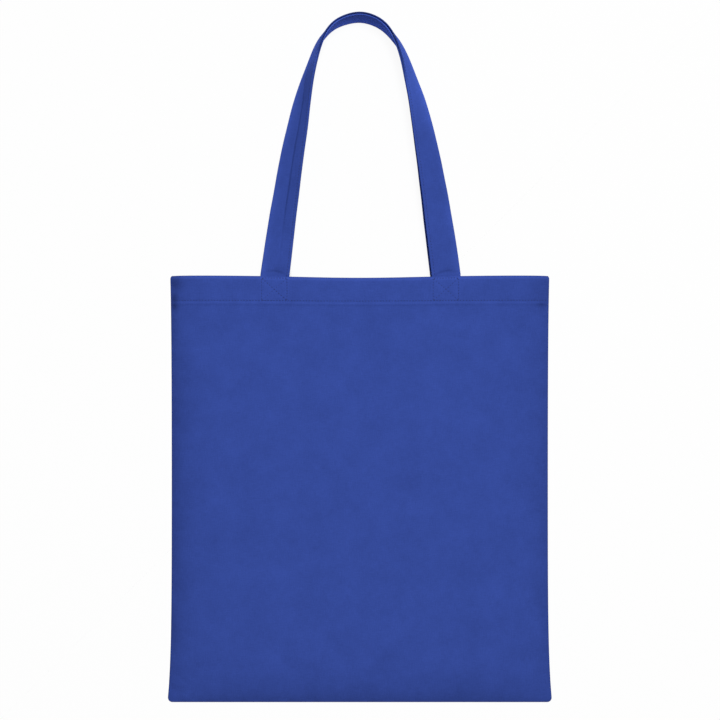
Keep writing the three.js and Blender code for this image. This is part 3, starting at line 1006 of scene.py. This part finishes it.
def hem_thread(name, surface, material):
    """The row of stitches along a hem, outside and inside."""
    reach = half_width(BODY_LENGTH) - HEM_STITCH_INSET
    line = [((-reach, HEM_STITCH_DROP), (reach, HEM_STITCH_DROP))]
    outside = panel_stitches(surface, line, 0, 1)
    inside = panel_stitches(surface, line, HEM_THICKNESS, -1)
    return thread(name, *joined(outside, inside), material)


def box_thread(name, surface, material):
    """Boxed crosses, whose diagonals are drawn in tighter than their sides."""
    inside_depth = HEM_THICKNESS + SEWN_GAP + HANDLE_THICKNESS
    groups = []
    for foot, sinks in zip(HANDLE_FEET, DIAGONAL_SINKS):
        lines = [((a[0] + foot, a[1]), (b[0] + foot, b[1])) for a, b in box_lines()]
        groups.append(panel_stitches(surface, lines[:BOX_SIDES], 0, 1))
        for line, sink in zip(lines[BOX_SIDES:], sinks):
            groups.append(panel_stitches(surface, [line], sink, 1))
        groups.append(panel_stitches(surface, lines, inside_depth, -1))
    return thread(name, *joined(*groups), material)


def handle_thread(name, kind, material):
    """The row of stitches that closes a folded handle, on both faces."""
    count = int((LEFT.length + RIGHT.length) / STITCH_PITCH)
    middles = (np.arange(count) + 0.5) * STITCH_PITCH - LEFT.length
    across = np.full(count, HANDLE_WIDTH / 2 - HANDLE_STITCH_INSET)
    groups = []
    for facing in (1, -1):
        face = np.full(count, facing * (HANDLE_THICKNESS / 2 - HANDLE_STITCH_SINK))
        begin, normal = handle_point(middles - STITCH_LENGTH / 2, across, face, kind)
        end, _ = handle_point(middles + STITCH_LENGTH / 2, across, face, kind)
        groups.append((begin, end, facing * normal))
    return thread(name, *joined(*groups), material)


# Materials

class Nodes:
    """Short ways to add and join the nodes of one material."""

    def __init__(self, name):
        self.material = bpy.data.materials.new(name)
        self.material.use_nodes = True
        self.tree = self.material.node_tree
        self.shader = self.tree.nodes["Principled BSDF"]

    def add(self, kind, **values):
        node = self.tree.nodes.new(kind)
        for key, value in values.items():
            setattr(node, key, value)
        return node

    def join(self, source, target):
        self.tree.links.new(source, target)

    def math(self, operation, first, second=None, third=None):
        node = self.add("ShaderNodeMath", operation=operation)
        for socket, value in zip(node.inputs, (first, second, third)):
            if isinstance(value, (int, float)):
                socket.default_value = value
            elif value is not None:
                self.join(value, socket)
        return node.outputs[0]

    def noise(self, vector, size, detail=2.0, roughness=0.5, stretch=(1, 1)):
        """Noise about size metres across, drawn out by stretch, from 0 to 1."""
        scale = self.add("ShaderNodeVectorMath", operation="MULTIPLY")
        self.join(vector, scale.inputs[0])
        scale.inputs[1].default_value = (1 / (size * stretch[0]), 1 / (size * stretch[1]), 1)
        node = self.add("ShaderNodeTexNoise", noise_dimensions="2D")
        node.inputs["Scale"].default_value = 1
        node.inputs["Detail"].default_value = detail
        node.inputs["Roughness"].default_value = roughness
        self.join(scale.outputs[0], node.inputs["Vector"])
        return node.outputs["Fac"]

    def sum(self, weighted):
        """Noises about 0.5 and their weights, added round 0.5."""
        total = None
        for value, weight in weighted:
            start = 0.5 * (1 - weight) if total is None else -0.5 * weight
            term = self.math("MULTIPLY_ADD", value, weight, start)
            total = term if total is None else self.math("ADD", total, term)
        return total

    def tint(self, factor, dark, light):
        ramp = self.add("ShaderNodeMix", data_type="RGBA")
        self.join(factor, ramp.inputs[0])
        ramp.inputs[6].default_value = (*dark, 1)
        ramp.inputs[7].default_value = (*light, 1)
        self.join(ramp.outputs[2], self.shader.inputs["Base Color"])

    def bump(self, height, distance, strength, before=None):
        node = self.add("ShaderNodeBump")
        node.inputs["Distance"].default_value = distance
        node.inputs["Strength"].default_value = strength
        self.join(height, node.inputs["Height"])
        if before:
            self.join(before, node.inputs["Normal"])
        return node.outputs["Normal"]


def cotton(name, colour):
    """Plain-woven cotton: crossing threads of uneven thickness, dye that took a little unevenly, and the
    painted light and shade carried by the tone attribute."""
    n = Nodes(name)
    flat = n.add("ShaderNodeUVMap", uv_map="cloth").outputs["UV"]
    split = n.add("ShaderNodeSeparateXYZ")
    n.join(flat, split.inputs[0])
    turns = math.pi / WEAVE_PITCH
    warp = n.math("SINE", n.math("MULTIPLY", split.outputs[0], turns))
    weft = n.math("SINE", n.math("MULTIPLY", split.outputs[1], turns))
    weave = n.math("ABSOLUTE", n.math("MULTIPLY", warp, weft))
    thick_warp = n.noise(flat, WEAVE_PITCH, stretch=(SLUB_WIDTH, SLUB_LENGTH))
    thick_weft = n.noise(flat, WEAVE_PITCH, stretch=(SLUB_LENGTH, SLUB_WIDTH))
    fibre = n.noise(flat, FIBRE_SIZE)
    dye = n.noise(flat, DYE_SIZE, detail=DYE_DETAIL, roughness=DYE_ROUGHNESS)
    # The weave term is painted light and shade: lighter on the thread crowns, darker between them
    shade = n.sum([
        (dye, DYE_SHARE), (fibre, FIBRE_SHARE), (thick_warp, SLUB_SHARE), (thick_weft, SLUB_SHARE),
        (weave, WEAVE_LIGHT_AND_SHADE_SHARE),
    ])
    # The tone attribute adds the painted light and shade of the panels and handles
    tone = n.add("ShaderNodeAttribute", attribute_name="tone").outputs["Fac"]
    shade = n.math("MULTIPLY_ADD", tone, 0.5 / TONE_RANGE, shade)
    n.tint(shade, colour * (1 - TONE_RANGE), colour * (1 + TONE_RANGE))
    threads = n.bump(weave, WEAVE_RELIEF, WEAVE_STRENGTH)
    slubs = n.sum([(thick_warp, 0.5), (thick_weft, 0.5)])
    n.join(n.bump(slubs, SLUB_RELIEF, SLUB_STRENGTH, before=threads), n.shader.inputs["Normal"])
    n.shader.inputs["Roughness"].default_value = 0.92
    n.shader.inputs["Specular IOR Level"].default_value = 0.02
    n.shader.inputs["Sheen Weight"].default_value = 0.03
    n.shader.inputs["Sheen Roughness"].default_value = 0.45
    n.shader.inputs["Sheen Tint"].default_value = SHEEN_TINT
    return n.material


def spun_thread(name, colour):
    """Two-ply sewing thread, with its twist: painted shade in the grooves between the plies and a painted
    highlight on their crowns.
    """
    n = Nodes(name)
    flat = n.add("ShaderNodeUVMap", uv_map="cloth").outputs["UV"]
    split = n.add("ShaderNodeSeparateXYZ")
    n.join(flat, split.inputs[0])
    slant = n.math("ADD", split.outputs[0], split.outputs[1])
    ply = n.math("SINE", n.math("MULTIPLY", slant, 2 * math.pi / YARN_TWIST_PITCH))
    share = n.math("ADD", n.math("MULTIPLY", ply, 0.5), 0.5)
    n.tint(share, colour * PLY_GROOVE_SHADE, colour * PLY_CROWN_HIGHLIGHT)
    n.join(n.bump(ply, YARN_RELIEF, YARN_STRENGTH), n.shader.inputs["Normal"])
    n.shader.inputs["Roughness"].default_value = 0.7
    n.shader.inputs["Specular IOR Level"].default_value = 0.3
    return n.material


def studio_white(name):
    """White floor that takes the bag's shadow, lifted towards plain white where it is seen, but with painted
    shade in the narrow gaps between the handles: a near-black colour laid in where ambient occlusion finds
    the floor closed in."""
    n = Nodes(name)
    n.shader.inputs["Roughness"].default_value = 0.9
    n.shader.inputs["Specular IOR Level"].default_value = 0
    path = n.add("ShaderNodeLightPath")
    seen = n.math("MAXIMUM", path.outputs["Is Camera Ray"], path.outputs["Is Glossy Ray"])
    seen = n.math("MAXIMUM", seen, path.outputs["Is Transmission Ray"])
    openness = n.add("ShaderNodeAmbientOcclusion", samples=GAP_SAMPLES)
    openness.inputs["Distance"].default_value = GAP_REACH
    in_the_open = n.add("ShaderNodeMapRange", interpolation_type="SMOOTHSTEP")
    n.join(openness.outputs["AO"], in_the_open.inputs["Value"])
    in_the_open.inputs["From Min"].default_value = GAP_OPENNESS[0]
    in_the_open.inputs["From Max"].default_value = GAP_OPENNESS[1]
    n.tint(in_the_open.outputs["Result"], GAP_SHADE_COLOUR, FLOOR_WHITE)
    lift = n.math("MULTIPLY", seen, FLOOR_LIFT)
    white = n.add("ShaderNodeEmission")
    white.inputs["Strength"].default_value = 1
    mix = n.add("ShaderNodeMixShader")
    n.join(n.math("MULTIPLY", lift, in_the_open.outputs["Result"]), mix.inputs[0])
    n.join(n.shader.outputs[0], mix.inputs[1])
    n.join(white.outputs[0], mix.inputs[2])
    n.join(mix.outputs[0], n.tree.nodes["Material Output"].inputs["Surface"])
    return n.material


# Floor, light and camera

def make_floor():
    size = FLOOR_SIZE
    corners = [(-size, -size, 0), (size, -size, 0), (size, size, 0), (-size, size, 0)]
    mesh = bpy.data.meshes.new("floor")
    mesh.from_pydata(corners, [], [(0, 1, 2, 3)])
    mesh.materials.append(studio_white("studio_white"))
    floor = bpy.data.objects.new("floor", mesh)
    bpy.context.scene.collection.objects.link(floor)


def make_world():
    world = bpy.data.worlds.new("studio")
    world.use_nodes = True
    tree = world.node_tree
    background = tree.nodes["Background"]
    background.inputs["Color"].default_value = (1, 1, 1, 1)
    path = tree.nodes.new("ShaderNodeLightPath")
    mix = tree.nodes.new("ShaderNodeMix")
    mix.inputs[2].default_value = AMBIENT
    mix.inputs[3].default_value = 1
    tree.links.new(path.outputs["Is Camera Ray"], mix.inputs[0])
    tree.links.new(mix.outputs[0], background.inputs["Strength"])
    bpy.context.scene.world = world


def make_key_light():
    lamp = bpy.data.lights.new("key", "AREA")
    lamp.shape = "SQUARE"
    lamp.size = KEY_SIZE
    lamp.energy = KEY_POWER
    key = bpy.data.objects.new("key", lamp)
    key.location = KEY_PLACE
    key.rotation_euler = (-key.location).to_track_quat("-Z", "Y").to_euler()
    bpy.context.scene.collection.objects.link(key)


def make_camera():
    data = bpy.data.cameras.new("camera")
    data.sensor_width = SENSOR_WIDTH
    data.lens = data.sensor_width * CAMERA_HEIGHT / VIEW_WIDTH
    camera = bpy.data.objects.new("camera", data)
    camera.location = (*CAMERA_OVER, CAMERA_HEIGHT)
    bpy.context.scene.collection.objects.link(camera)
    bpy.context.scene.camera = camera


# Build
bpy.context.scene.view_settings.view_transform = "Standard"
make_camera()
make_world()
make_key_light()
make_floor()

cloth = cotton("dyed_cotton", BLUE)
yarn = spun_thread("sewing_thread", BLUE * THREAD_PAINTED_SHADE)

front = panel("front_cloth", front_surface, front_painted_light, FRONT_ROLL, FRONT_STEP, cloth)
back = panel("back_cloth", back_surface, plain_tone, BACK_ROLL, BACK_STEP, cloth)
front_loop = handle("front_strip", FRONT_HANDLE, front_handle_painted_light, cloth)
back_loop = handle("back_strip", BACK_HANDLE, back_handle_painted_light, cloth)
front_sewing = [
    hem_thread("front_hem_thread", front_surface, yarn),
    box_thread("front_box_thread", front_surface, yarn),
]
back_sewing = [
    hem_thread("back_hem_thread", back_surface, yarn),
    box_thread("back_box_thread", back_surface, yarn),
]
front_loop_sewing = handle_thread("front_strip_thread", FRONT_HANDLE, yarn)
back_loop_sewing = handle_thread("back_strip_thread", BACK_HANDLE, yarn)

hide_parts("front_panel")
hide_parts("back_panel")
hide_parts("front_handle")
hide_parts("back_handle")

bpy.context.view_layer.update()
